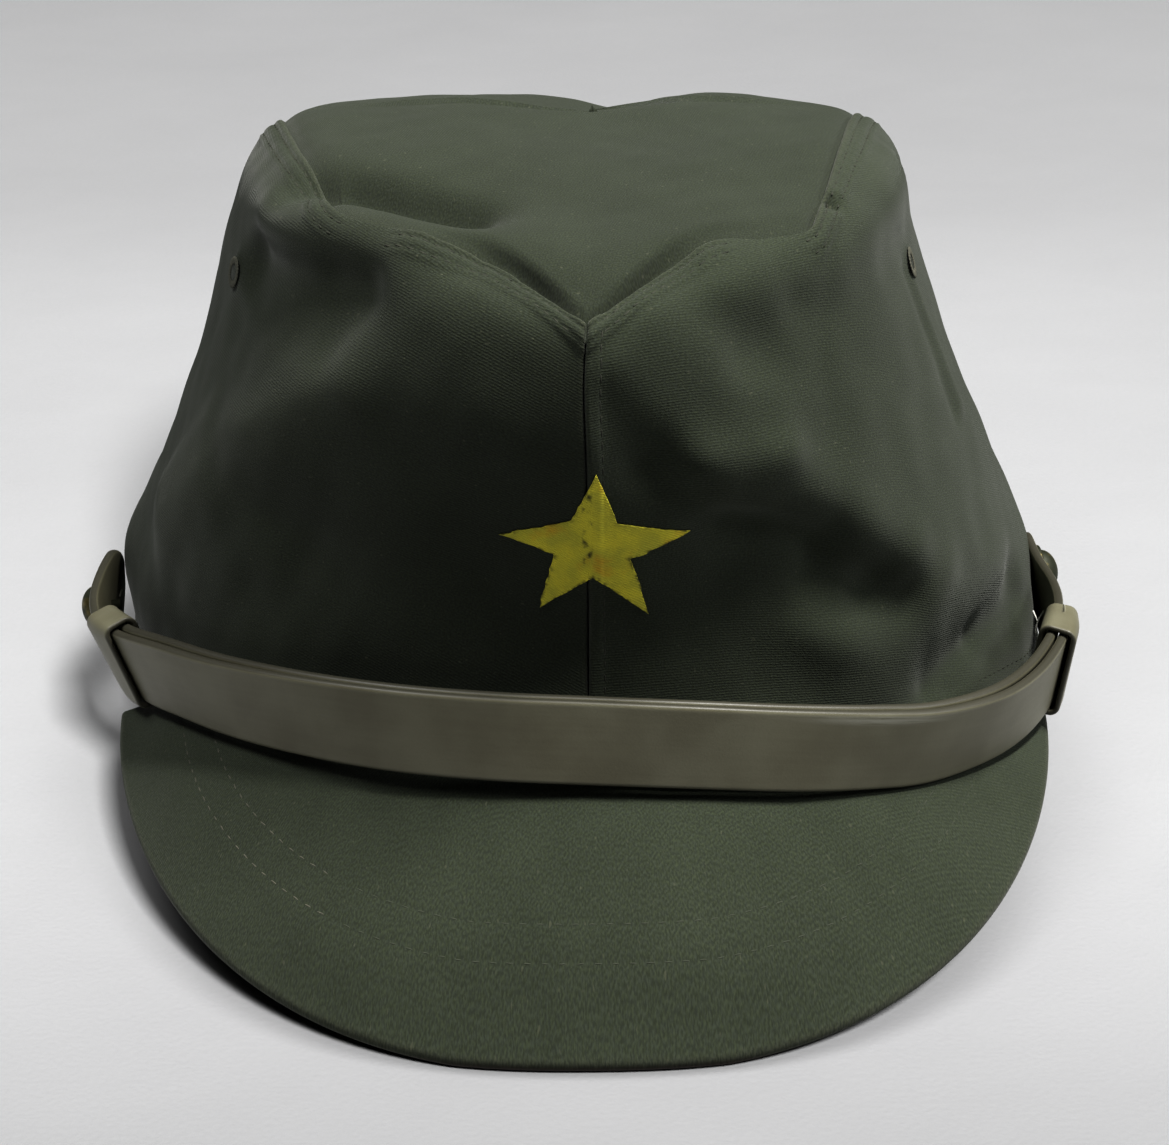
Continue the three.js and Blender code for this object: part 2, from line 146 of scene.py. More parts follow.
def crownBase(angle, level):
    row = splineRows(range(topLevel + 1), crown["sections"], level)
    zFront, zSide, zBack, halfWidth, front, back, squareness, prow, dip, shift = np.moveaxis(row, -1, 0)
    sine, cosine = np.sin(angle), np.cos(angle)
    across = np.abs(sine / np.maximum(halfWidth, 1e-6)) ** squareness
    along = np.abs(cosine / np.maximum(np.where(cosine > 0, front, back), 1e-6)) ** squareness
    radius = (across + along) ** (-1 / squareness)
    x = radius * sine
    ahead = np.where(cosine > 0, np.maximum(0, 1 - np.abs(x) / crown["prowHalfWidth"]), 0)
    sunk = np.maximum(0, -heightRound(*crown["sections"][0][:3], cosine))
    settled = sunk * np.maximum(0, 1 - level / crown["settledLevels"])
    z = heightRound(zFront, zSide, zBack, cosine) - dip * ahead + settled
    return np.stack([x + shift * (1 - ahead / 2), -radius * cosine - prow * ahead, z], -1)


def facingOf(surface, angle, level):
    around = surface(angle + turnStep, level) - surface(angle - turnStep, level)
    upward = surface(angle, level + levelStep) - surface(angle, level - levelStep)
    facing = unit(np.cross(around, upward))
    return np.where((level >= topLevel - levelStep)[..., None], np.array([0.0, 0.0, 1.0]), facing)


def foldRise(points, folds):
    total = np.zeros(points.shape[:-1])
    for start, end, width, rise in folds:
        start, end = np.array(start, float), np.array(end, float)
        share = np.clip((points - start) @ (end - start) / ((end - start) @ (end - start)), 0, 1)
        away = np.linalg.norm(points - start - share[..., None] * (end - start), axis=-1)
        total += rise * bell(away, width)
    return total


def crownFace(angle, level):
    base = crownBase(angle, level)
    return base + facingOf(crownBase, angle, level) * foldRise(base, crown["folds"])[..., None]


def wrapped(angle):
    return (angle + np.pi) % (2 * np.pi) - np.pi


def seamLevel(angle):
    turned = np.degrees(wrapped(angle))
    left, right = np.array(crown["seamLeft"]), np.array(crown["seamRight"])
    levels = [splineRows(side[:, 0], side[:, 1], np.abs(turned)) for side in (left, right)]
    return np.where(turned >= 0, *levels)


# How the worn cloth differs from the smooth crown: small creases, unevenness, seams and stitched lines
wornCloth = {
    "creases": [
        # from, to, width, rise
        ((-62, -38, 107), (-52, -58, 98), 3, 0.9),  # from the right vent
        ((-70, -50, 84), (-80, -30, 60), 5, 1.2),
        ((-64, -60, 78), (-52, -76, 70), 7, -1.2),
        ((-72, -56, 52), (-58, -70, 66), 6, 0.8),
        ((26, -90, 108), (40, -82, 103), 4, -1.0),
        ((36, -80, 114), (50, -70, 108), 4, -0.8),
        ((57, -40, 106), (66, -40, 80), 2.5, -0.6),  # from the left vent
        ((58, -36, 106), (68, -36, 80), 2.5, 0.7),
        ((60, -66, 37), (71, -52, 40), 3.0, -0.9),  # towards the left keeper
        ((71, -52, 40), (84, -24, 36), 3.2, -0.9),
        ((64, -62, 34), (80, -35, 34), 2.2, -0.7),
        ((29, -88, 71), (43, -80, 63), 5, 1.1),
        ((36, -85, 57), (43, -80, 52), 4.5, 0.8),
        ((4, -99, 110), (17, -96, 93), 4.5, 1.0),  # along the left brow
        ((17, -96, 93), (31, -88, 91), 4.5, 1.2),
        ((31, -88, 90), (54, -70, 66), 6, 1.8),
        ((9, -98, 93), (19, -94, 82), 5, -1.4),
        ((24, -91, 79), (38, -83, 73), 5, -2.1),
        ((40, -82, 66), (54, -72, 57), 5, -1.9),
        ((-40, -49, 124), (-20, -60, 122), 3.6, -2.8),  # behind the right ridge
        ((-86, -6, 40), (-87, 6, 36), 9, 2.4),
        ((-59, -48, 112), (-38, -76, 116), 6, -3.1),  # under the right ridge
        ((85, -20, 36), (86, 0, 34), 9, 1.3),
        ((83, -32, 25), (86, -10, 22), 8, 1.5),
        ((3, 15, 122), (2, 60, 106), 9, 1.2),  # down the back
        ((8.5, 25, 121), (8.5, 60, 106), 6.5, -1.1),
        ((-58, -72, 62), (-20, -93, 66), 15, -2.2),  # hollow of the lower front
        ((-20, -93, 66), (30, -90, 62), 15, -2.6),
        ((-34, -92, 104), (-4, -101, 98), 9, 0.8),  # under the right of the V
    ],
    "waves": [(34, 0.24), (19, 0.07), (10, 0.03)],  # length, height
    "frontLap": 3.0,
    "topLap": 4.4,
    "topRows": (1.7, 4.2),
    # how clearly the top seam shows, by degrees from the front: it hides where it rolls over the ridges
    "showRight": ((0, 20, 24, 30, 37, 80, 105, 180), (1, 0.9, 0, 0, 0.8, 0.8, 0.3, 0.3)),
    "showLeft": ((0, 15, 19, 28, 31, 80, 105, 180), (1, 0.9, 0, 0, 0.8, 0.8, 0.3, 0.3)),
    "backTuck": 0.6,
    "hem": 7.5,
    "pucker": (4.6, 0.07),
    "dimple": ((41.4, -58.2, 124.8), 1.6, 3.2),
}
waveSet = []
for length, height in wornCloth["waves"]:
    for _ in range(5):
        direction = scatter.normal(size=3)
        direction *= 2 * np.pi / (length * np.linalg.norm(direction) * scatter.uniform(0.8, 1.25))
        waveSet.append((direction, scatter.uniform(0, 2 * np.pi), height))


def uneven(points):
    total = np.zeros(points.shape[:-1])
    for direction, phase, height in waveSet:
        total += height * np.sin(points @ direction + phase)
    return total


def seamShow(angle):
    turned = np.degrees(wrapped(angle))
    left = np.interp(np.abs(turned), *wornCloth["showLeft"])
    right = np.interp(np.abs(turned), *wornCloth["showRight"])
    return np.where(turned >= 0, left, right)


# The cloth's outer face at an angle and level, with its distances from the rim and from the top seam
def clothFace(angle, level, fromRim, fromTop):
    smooth = crownFace(angle, level)
    facing = facingOf(crownFace, angle, level)
    flat = facing * np.array([1, 1, 0])
    facing = unit(facing + (flat - facing) * bell(fromRim, 1.2)[..., None])
    turned = wrapped(angle)
    show = seamShow(angle)
    fromFront = np.abs(turned) * crown["frontReach"]
    fromBack = (np.pi - np.abs(turned)) * crown["backReach"]
    free = smoothStep(0, 14, fromRim)
    rise = foldRise(smooth, wornCloth["creases"]) + uneven(smooth) * free
    lap = 0.32 * smoothStep(0, 0.8, fromFront) * (1 - smoothStep(2.8, 4.0, fromFront))
    rise += np.where(turned >= 0, lap - 0.22 * bell(fromFront - wornCloth["frontLap"], 0.4), 0)
    lapBack = 0.5 * smoothStep(0, 0.8, fromBack) * (1 - smoothStep(2.8, 4.0, fromBack))
    rise += np.where(turned < 0, lapBack, 0) * smoothStep(3, 9, fromTop)
    rise += 0.85 * show * (1 - smoothStep(wornCloth["topLap"], wornCloth["topLap"] + 1.6, fromTop))
    for row in wornCloth["topRows"]:
        rise -= 0.42 * np.sqrt(show) * bell(fromTop - row, 0.42)
    rise -= wornCloth["backTuck"] * smoothStep(1.6, 2.1, np.abs(turned)) * (1 - smoothStep(0, 7, fromTop))
    step, height = wornCloth["pucker"]
    rise += height * show * np.sin(2 * np.pi * fromFront / step) * bell(fromTop - 2, 4)
    rise += 0.35 * (1 - smoothStep(wornCloth["hem"], wornCloth["hem"] + 1.2, fromRim))
    rise -= 0.3 * bell(fromRim - wornCloth["hem"] - 0.5, 0.5)
    place, width, depth = wornCloth["dimple"]
    rise -= depth * bell(np.linalg.norm(smooth - np.array(place), axis=-1), width)
    points = smooth + facing * rise[..., None]
    points[..., 2] = np.maximum(points[..., 2], 0)
    return points, facing


# Levels at distances up the side from the rim, for each angle
def climb(angle):
    share = np.linspace(0, 1, 140)
    level = share[:, None] * seamLevel(angle)[None]
    points = crownFace(np.broadcast_to(angle, level.shape), level)
    run = np.zeros(level.shape)
    run[1:] = np.cumsum(np.linalg.norm(np.diff(points, axis=0), axis=-1), axis=0)
    return level, run


def levelAt(angle, fromRim):
    level, run = climb(angle)
    found = [np.interp(fromRim[:, k], run[:, k], level[:, k]) for k in range(len(angle))]
    return np.stack(found, 1)


# A closed wall of cloth or leather round a grid of points, its edges rounded where fullness falls to zero
def softShell(name, points, facing, thickness, fullness, texture, wear):
    rows, columns = points.shape[:2]
    sides = [points - facing * (thickness / 2 * (1 + sign * fullness))[..., None] for sign in (-1, 1)]
    mesh = bmesh.new()
    uvLayer = mesh.loops.layers.uv.new("weave")
    wearLayer = mesh.verts.layers.float.new("wear")
    for side in sides:
        grid = bmesh.ops.create_grid(mesh, x_segments=columns - 1, y_segments=rows - 1, size=0.5)
        faces = set()
        spots = {}
        place = toFrame(side)
        for vert in grid["verts"]:
            row = round((vert.co.y + 0.5) * (rows - 1))
            column = round((vert.co.x + 0.5) * (columns - 1))
            spots[vert] = (row, column)
            vert.co = place[row, column]
            vert[wearLayer] = wear[row, column]
            faces.update(vert.link_faces)
        for face in faces:
            face.smooth = True
            for loop in face.loops:
                loop[uvLayer].uv = texture[spots[loop.vert]]
        if side is sides[1]:
            bmesh.ops.reverse_faces(mesh, faces=list(faces))
    bmesh.ops.remove_doubles(mesh, verts=mesh.verts, dist=2e-6)
    bmesh.ops.dissolve_degenerate(mesh, dist=1e-6, edges=mesh.edges)
    return asPiece(name, mesh)


def asPiece(name, mesh):
    data = bpy.data.meshes.new(name)
    mesh.to_mesh(data)
    mesh.free()
    piece = bpy.data.objects.new(name, data)
    bpy.context.scene.collection.objects.link(piece)
    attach(piece, "root")
    return piece


def rounding(distance, half):
    return np.sqrt(1 - (1 - np.clip(distance / half, 0, 1)) ** 2)


edgeSteps = np.array([0, 0.06, 0.22, 0.45, 0.9, 1.3, 1.7, 2.1, 2.5, 2.9, 3.3, 3.7, 4.2, 4.8, 5.5])


# Nodes of the materials: a wrapped value takes plain maths
class Field:
    def __init__(self, finish, socket):
        self.finish, self.socket = finish, socket

    def maths(self, operation, first, second=0.0):
        return self.finish.node("ShaderNodeMath", {"operation": operation}, {0: first, 1: second})

    def __add__(self, other):
        return self.maths("ADD", self, other)

    def __sub__(self, other):
        return self.maths("SUBTRACT", self, other)

    def __rsub__(self, other):
        return self.maths("SUBTRACT", other, self)

    def __mul__(self, other):
        return self.maths("MULTIPLY", self, other)

    def sine(self):
        return self.maths("SINE", self)

    __radd__ = __add__
    __rmul__ = __mul__


class Finish:
    def __init__(self, name):
        self.material = bpy.data.materials.new(name)
        self.material.use_nodes = True
        self.tree = self.material.node_tree
        self.shader = self.tree.nodes["Principled BSDF"]

    def node(self, kind, settings, sockets, output=0):
        made = self.tree.nodes.new(kind)
        for key, value in settings.items():
            setattr(made, key, value)
        for key, value in sockets.items():
            self.feed(made.inputs[key], value)
        return Field(self, made.outputs[output])

    def feed(self, socket, value):
        if isinstance(value, Field):
            self.tree.links.new(value.socket, socket)
        elif isinstance(value, tuple) and len(value) == 3 and socket.type == "RGBA":
            socket.default_value = (*value, 1)
        else:
            socket.default_value = value

    def set(self, **sockets):
        for key, value in sockets.items():
            self.feed(self.shader.inputs[key.replace("_", " ")], value)

    def weave(self):
        return self.node("ShaderNodeUVMap", {"uv_map": "weave"}, {}, "UV")

    def place(self):
        return self.node("ShaderNodeTexCoord", {}, {}, "Object")

    def split(self, vector):
        return [self.node("ShaderNodeSeparateXYZ", {}, {0: vector}, axis) for axis in "XYZ"]

    def noise(self, vector, scale, detail):
        return self.node("ShaderNodeTexNoise", {}, {"Vector": vector, "Scale": scale, "Detail": detail})

    def attribute(self, name):
        return self.node("ShaderNodeAttribute", {"attribute_name": name}, {}, "Fac")

    def between(self, low, high, value):
        sockets = {"Value": value, "From Min": low, "From Max": high}
        return self.node("ShaderNodeMapRange", {"interpolation_type": "SMOOTHSTEP"}, sockets)

    def blend(self, factor, first, second):
        return self.node("ShaderNodeMix", {"data_type": "RGBA"}, {0: factor, 6: first, 7: second}, 2)

    def shade(self, colour, factor):
        grey = self.node("ShaderNodeCombineColor", {}, {0: factor, 1: factor, 2: factor})
        settings = {"data_type": "RGBA", "blend_type": "MULTIPLY"}
        return self.node("ShaderNodeMix", settings, {0: 1.0, 6: colour, 7: grey}, 2)

    def bump(self, height, depth, strength):
        sockets = {"Strength": strength, "Distance": depth, "Height": height}
        return self.node("ShaderNodeBump", {}, sockets)


# Worn olive twill: slanted wales of short floats, mottled fade, pale flecks and rubbed edges, with a
# painted-light brightness factor for each copy and, on the peak, a brown painted shade near the ground
twill = {
    "deep": (0.0222, 0.0272, 0.0158),
    "pale": (0.0400, 0.0482, 0.0298),
    "cool": (0.031, 0.037, 0.030),
    "rubbed": (0.080, 0.084, 0.058),
    "ground_shade": (0.030, 0.021, 0.017),
    "pitch": 0.46,
    "float": 0.9,
    "relief": 0.0001,
}


def twillFinish(name, waleTurn, tone, groundShade=0.0):
    cloth = Finish(name)
    weave = cloth.weave()
    u, v, _ = cloth.split(weave)
    drift = cloth.noise(weave, 0.35, 2.0) - 0.5
    yarn = cloth.between(0.3, 0.7, cloth.noise(weave, 3.0, 1.0))
    tint = cloth.between(0.35, 0.65, cloth.noise(weave, 2.2, 1.0))
    turn = math.radians(waleTurn)
    across = v * math.cos(turn) - u * math.sin(turn) + drift * 0.3
    along = u * math.cos(turn) + v * math.sin(turn)
    wale = (across * (2 * math.pi / twill["pitch"])).sine() * 0.5 + 0.5
    floats = (along * (2 * math.pi / twill["float"]) + across * 5.0).sine() * 0.5 + 0.5
    weft = wale * (0.45 + floats * 0.2 + yarn * 0.35)
    fade = cloth.noise(weave, 0.045, 4.0)
    patch = cloth.noise(weave, 0.16, 3.0)
    mottle = cloth.between(0.2, 0.8, fade * 0.6 + patch * 0.4)
    colour = cloth.blend(mottle * 0.5 + weft * 0.3 + 0.1, twill["deep"], twill["pale"])
    # tone is painted light: it brightens or darkens this copy of the one cloth to suit how the lamps light
    # its panel
    colour = cloth.shade(colour, (0.8 + yarn * 0.4) * tone)
    colour = cloth.blend(tint * 0.45, colour, cloth.shade(twill["cool"], (0.8 + yarn * 0.4) * tone))
    fleck = cloth.between(0.69, 0.78, cloth.noise(weave, 1.15, 1.0))
    colour = cloth.blend(fleck * 0.55, colour, twill["rubbed"])
    colour = cloth.blend(cloth.attribute("wear") * (0.25 + yarn * 0.6), colour, twill["rubbed"])
    # Painted contact shade: within a few millimetres of the ground the cloth turns dark brown, where the
    # peak's edge meets the floor
    if groundShade:
        height = cloth.split(cloth.place())[2]
        colour = cloth.blend(cloth.between(0.0026, 0.0012, height) * groundShade, colour, twill["ground_shade"])
    relief = cloth.bump(weft * 0.9 + yarn * 0.4, twill["relief"], 0.5)
    cloth.set(Base_Color=colour, Roughness=0.93, Normal=relief, Sheen_Weight=0.12, Sheen_Roughness=0.5)
    cloth.set(Specular_IOR_Level=0.2)
    return cloth.material


# Smooth waxed leather: long streaks, clouding, and pale upper edges painted as a highlight with rubbed wear
leather = {
    "deep": (0.125, 0.118, 0.078),
    "pale": (0.165, 0.160, 0.112),
    "edge": (0.30, 0.298, 0.25),
    "cut": (0.052, 0.050, 0.036),
}


def leatherFinish():
    hide = Finish("strap_leather")
    weave = hide.weave()
    stretched = hide.node("ShaderNodeMapping", {}, {"Vector": weave, "Scale": (0.05, 1.1, 1.0)})
    streak = hide.noise(stretched, 1.0, 4.0)
    cloud = hide.noise(weave, 0.07, 3.0)
    grain = hide.noise(weave, 2.2, 3.0)
    mottle = hide.between(0.3, 0.7, streak * 0.15 + cloud * 0.85)
    colour = hide.blend(mottle, leather["deep"], leather["pale"])
    colour = hide.shade(colour, 0.92 + grain * 0.16)
    worn = hide.attribute("wear")  # above zero on rubbed spots and along the upper edges, where it is a painted highlight; below zero at a cut edge
    rubAndHighlight = hide.between(0.0, 1.0, worn) * hide.between(0.25, 0.55, hide.noise(stretched, 2.3, 3.0))
    colour = hide.blend(rubAndHighlight, colour, leather["edge"])
    colour = hide.blend(hide.between(0.0, 1.0, 0.0 - worn), colour, leather["cut"])
    relief = hide.bump(grain * 0.8 + streak * 0.3, 0.00005, 0.4)
    hide.set(Base_Color=colour, Roughness=0.42 + grain * 0.16, Normal=relief)
    hide.set(Coat_Weight=0.12, Coat_Roughness=0.35, Specular_IOR_Level=0.45)
    return hide.material


# Yellow paint sunk into the cloth: orange stains, dark flecks on the seam and a pale worn tip
paint = {
    "yellow": (0.74, 0.67, 0.075),
    "olive": (0.56, 0.53, 0.075),
    "orange": (0.64, 0.36, 0.035),
    "bare": (0.032, 0.036, 0.02),
    "seam": 1.3,  # from the star's middle to the seam
}


def paintFinish():
    coat = Finish("star_paint")
    weave = coat.weave()
    u, v, _ = coat.split(weave)
    cloud = coat.noise(weave, 0.16, 3.0)
    colour = coat.blend(coat.between(0.35, 0.65, cloud), paint["yellow"], paint["olive"])
    stain = coat.between(0.55, 0.72, coat.noise(weave, 0.11, 4.0))
    colour = coat.blend(stain * 0.75, colour, paint["orange"])
    yarn = coat.noise(weave, 2.4, 1.0)
    across = v * 0.866 + u * 0.5
    wale = (across * (2 * math.pi / twill["pitch"])).sine() * 0.5 + 0.5
    colour = coat.shade(colour, 0.8 + wale * 0.12 + yarn * 0.16)
    fromSeam = u + paint["seam"]
    fleck = coat.between(0.5, 0.62, coat.noise(weave, 0.32, 3.0))
    seam = coat.between(1.2, 0.1, fromSeam * fromSeam) * fleck
    bare = coat.attribute("wear") * coat.between(0.4, 0.6, coat.noise(weave, 0.9, 3.0))
    colour = coat.blend(seam * 0.9, colour, paint["bare"])
    colour = coat.blend(bare, colour, paint["bare"])
    relief = coat.bump(wale + yarn, 0.0001, 0.6)
    coat.set(Base_Color=colour, Roughness=0.8, Normal=relief, Specular_IOR_Level=0.25)
    return coat.material


# Plain bound thread, with its twist
def threadFinish(name, deep, pale):
    cord = Finish(name)
    place = cord.place()
    twist = cord.noise(place, 2600.0, 1.0)
    patch = cord.noise(place, 40.0, 2.0)
    colour = cord.blend(cord.between(0.3, 0.7, twist * 0.5 + patch * 0.5), deep, pale)
    relief = cord.bump(twist, 0.00005, 0.5)
    cord.set(Base_Color=colour, Roughness=0.85, Normal=relief)
    return cord.material


# Dull bronze with a green cast and rubbed high spots
bronze = {"deep": (0.030, 0.034, 0.018), "rubbed": (0.17, 0.14, 0.06)}


def bronzeFinish():
    metal = Finish("button_metal")
    place = metal.place()
    cloud = metal.noise(place, 350.0, 4.0)
    pit = metal.noise(place, 2500.0, 2.0)
    worn = metal.between(0.45, 0.7, cloud)
    colour = metal.blend(worn, bronze["deep"], bronze["rubbed"])
    relief = metal.bump(cloud + pit * 0.4, 0.00012, 0.5)
    metal.set(Base_Color=colour, Metallic=0.35 + worn * 0.45, Roughness=0.6 - worn * 0.2, Normal=relief)
    return metal.material


# The last number brightens or darkens each panel's copy of the one olive twill: painted light, evening out
# how brightly the lamps light each panel, not a difference in the cloth; the peak's fourth number is the
# strength of its painted contact shade
leftCloth = twillFinish("cloth_left", 4, 1.14)
rightCloth = twillFinish("cloth_right", -30, 1.0)
topCloth = twillFinish("cloth_top", 75, 0.97)
peakCloth = twillFinish("cloth_peak", -36, 1.18, 0.9)
strapLeather = leatherFinish()
starPaint = paintFinish()
seamThread = threadFinish("seam_thread", (0.02, 0.023, 0.015), (0.045, 0.047, 0.033))
peakThread = threadFinish("peak_thread", (0.034, 0.04, 0.026), (0.046, 0.053, 0.035))
paleThread = threadFinish("pale_thread", (0.055, 0.057, 0.042), (0.11, 0.108, 0.082))
whiteThread = threadFinish("white_thread", (0.5, 0.5, 0.46), (0.8, 0.8, 0.76))
buttonMetal = bronzeFinish()
print("finishes made")


def dress(piece, material, slot, *nodes):
    piece.data.materials.append(material)
    if nodes:
        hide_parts(*nodes)
    return piece


# Side panels, from the front seam to the back seam, opened out as a cone for the weave
sidePanel = {
    "columns": 210,
    "rows": 88,
    "reach": 95,
    "gapAngle": 0.0012,
    "coneSlant": 352,
    "coneTurn": 0.25,
}


def crownSide(name, node, start, material):
    near = edgeSteps / sidePanel["reach"]
    middle = np.linspace(near[-1], math.pi - near[-1], sidePanel["columns"])
    span = np.concatenate([near[:-1], middle, math.pi - near[-2::-1]])
    shrink = 1 - 2 * sidePanel["gapAngle"] / math.pi
    angle = start + sidePanel["gapAngle"] + span * shrink
    height = climb(angle)[1][-1]
    body = np.linspace(0, 1, sidePanel["rows"])[1:-1, None] * (height - 2 * edgeSteps[-1]) + edgeSteps[-1]
    low = np.repeat(edgeSteps[:, None], len(angle), 1)
    fromRim = np.concatenate([low, body, height - low[::-1]])
    level = levelAt(angle, fromRim)
    angles = np.broadcast_to(angle, level.shape)
    fromTop = height - fromRim
    points, facing = clothFace(angles, level, fromRim, fromTop)
    ends = np.minimum(span, math.pi - span) * sidePanel["reach"]
    half = crown["cloth"] / 2
    flush = half * (1 - rounding(fromTop, half)) * (1 - seamShow(angles))
    points = points + facing * flush[..., None]
    fullness = rounding(fromRim, half) * rounding(fromTop, half) * rounding(ends, half / 2)[None]
    slant = sidePanel["coneSlant"] - fromRim
    opened = angles * sidePanel["coneTurn"]
    texture = np.stack([slant * np.sin(opened), -slant * np.cos(opened)], -1)
    wear = 0.5 * seamShow(angles) * bell(fromTop, 0.9) + 0.3 * bell(fromRim, 1.0)
    wear = wear + 0.25 * bell(ends, 0.8)[None]
    wear = wear + 0.12 * smoothStep(0.8, 2.4, foldRise(points, crown["folds"]))
    wall = np.full(level.shape, crown["cloth"])
    return dress(softShell(name, points, facing, wall, fullness, texture, wear), material, "cloth", node)


crownSide("left_panel", "crown_side_left", 0.0, leftCloth)
crownSide("right_panel", "crown_side_right", -math.pi, rightCloth)
print("side panels sewn")

# The top panel, tucked under the sides' edges
topPanel = {
    "columns": 300,
    "rows": 46,
    "tuck": 0.13,
    "sink": (0.1, 1.1, 3.4),  # everywhere, where the seam shows, at the V
    "sinkRun": 2.3,
    "pocket": (3, 7),
}


def crownTop(name, node):
    angle = np.linspace(0, 2 * math.pi, topPanel["columns"] + 1)
    low = seamLevel(angle) - topPanel["tuck"]
    share = np.concatenate([np.linspace(0, 0.16, 18)[:-1], np.linspace(0.16, 1, topPanel["rows"])])
    level = low + share[:, None] * (topLevel - low)
    angles = np.broadcast_to(angle, level.shape)
    smooth = crownFace(angles, level)
    facing = facingOf(crownFace, angles, level)
    seam = crownFace(angle, seamLevel(angle))
    inside = np.where(level > seamLevel(angle), 1, -1) * np.linalg.norm(smooth - seam, axis=-1)
    least, shown, point = topPanel["sink"]
    sink = least + shown * seamShow(angle)
    sunk = sink * np.exp(-((np.maximum(inside, 0) / topPanel["sinkRun"]) ** 1.5))
    sunk += point * bell(np.degrees(wrapped(angle)), 14) * (1 - smoothStep(*topPanel["pocket"], inside))
    creased = foldRise(smooth, wornCloth["creases"])[..., None] * facingOf(crownBase, angles, level)
    points = smooth + creased + facing * (uneven(smooth) * 0.8 - sunk)[..., None]
    wall = np.full(level.shape, crown["cloth"])
    fullness = rounding(inside - inside[0], crown["cloth"] / 2)
    texture = points[..., :2].copy()
    wear = 0.15 * smoothStep(0.5, 1.5, foldRise(points, crown["folds"]))
    return dress(softShell(name, points, facing, wall, fullness, texture, wear), topCloth, "cloth", node)


crownTop("top_panel", "crown_top")
print("top panel sewn")

# The peak: stiff cloth, its front edge on the ground
peak = {
    "thickness": 2.8,
    "halfAngle": math.radians(62),
    "level": 0.26,
    "centre": 25,
    "halfWidth": 87,
    "side": -0.6,
    "reach": 110.3,
    "squareness": 2.4,
    "sweep": math.radians(81),
    "cornerRise": 19,
    "tipDrop": 1,
    "bulge": 4,
    "settle": 0.8,
    "columns": 230,
    "rows": 70,
    "stitchRows": (14.5, 20.8),
}


def peakSurface(turn, up):
    footAngle = turn * peak["halfAngle"]
    level = np.full(footAngle.shape, peak["level"])
    foot = crownFace(footAngle, level)
    sweep = turn * peak["sweep"]
    across = np.abs(np.sin(sweep) / peak["halfWidth"]) ** peak["squareness"]
    ahead = np.abs(np.cos(sweep) / peak["reach"]) ** peak["squareness"]
    radius = (across + ahead) ** (-1 / peak["squareness"])
    rise = peak["cornerRise"] * (1 - np.cos(math.pi * turn)) / 2 - peak["tipDrop"]
    height = peak["thickness"] + np.maximum(0, rise)
    x = peak["side"] + radius * np.sin(sweep)
    edge = np.stack([x, -peak["centre"] - radius * np.cos(sweep), height], -1)
    points = edge + (foot - edge) * up[..., None]
    points[..., 2] += 4 * peak["bulge"] * up * (1 - up) * (1 - turn**2) ** 2
    return points, up * np.linalg.norm(foot - edge, axis=-1)


def gridFacing(points):
    around = np.gradient(points, axis=1)
    upward = np.gradient(points, axis=0)
    return unit(np.cross(around, upward))


def peakCloth3d(turn, up):
    points, fromEdge = peakSurface(turn, up)
    points[..., 2] -= peak["settle"] * bell(fromEdge, 9)
    return points, fromEdge


def peakPiece(name, node):
    across = np.concatenate([[0, 0.0006, 0.002, 0.004, 0.008], np.linspace(0.012, 0.988, peak["columns"])])
    across = np.concatenate([across, [0.992, 0.996, 0.998, 0.9994, 1]])
    turn = across * 2 - 1
    fine = edgeSteps / 70
    upward = np.concatenate([fine, np.linspace(fine[-1], 0.975, peak["rows"])[1:], [0.985, 0.993, 0.998, 1]])
    turn, up = np.meshgrid(turn, upward)
    points, fromEdge = peakCloth3d(turn, up)
    facing = gridFacing(points)
    rise = uneven(points) * 0.45 * smoothStep(0, 12, fromEdge)
    for row in peak["stitchRows"]:
        rise -= 0.06 * bell(fromEdge - row, 0.6)
    points = points + facing * rise[..., None]
    fromEnd = (1 - np.abs(turn)) * 125
    half = peak["thickness"] / 2
    fullness = rounding(fromEdge, half) * rounding(fromEnd, half) * rounding((1 - up) * 70, half)
    texture = np.stack([points[..., 0], points[..., 2] * 0.45 - points[..., 1]], -1)
    wear = 0.5 * bell(fromEdge - 0.4, 0.9)
    wall = np.full(points.shape[:2], peak["thickness"])
    return dress(softShell(name, points, facing, wall, fullness, texture, wear), peakCloth, "cloth", node)


peakPiece("peak_board", "peak")
print("peak made")

# The painted star, laid over the front seam
star = {
    "tips": [(88.6, 16.4), (176.9, 16.5), (233.7, 16.7), (304.1, 17.3), (5.4, 17.1)],  # degrees, radius
    "notches": [(124.6, 7.0), (195.3, 7.6), (266.5, 6.5), (335.9, 7.3), (51.7, 6.6)],
    "level": 3.02,
    "side": 1.3,
    "thickness": 0.24,
    "steps": 22,
    "rows": 15,
    "ragged": 0.16,
}


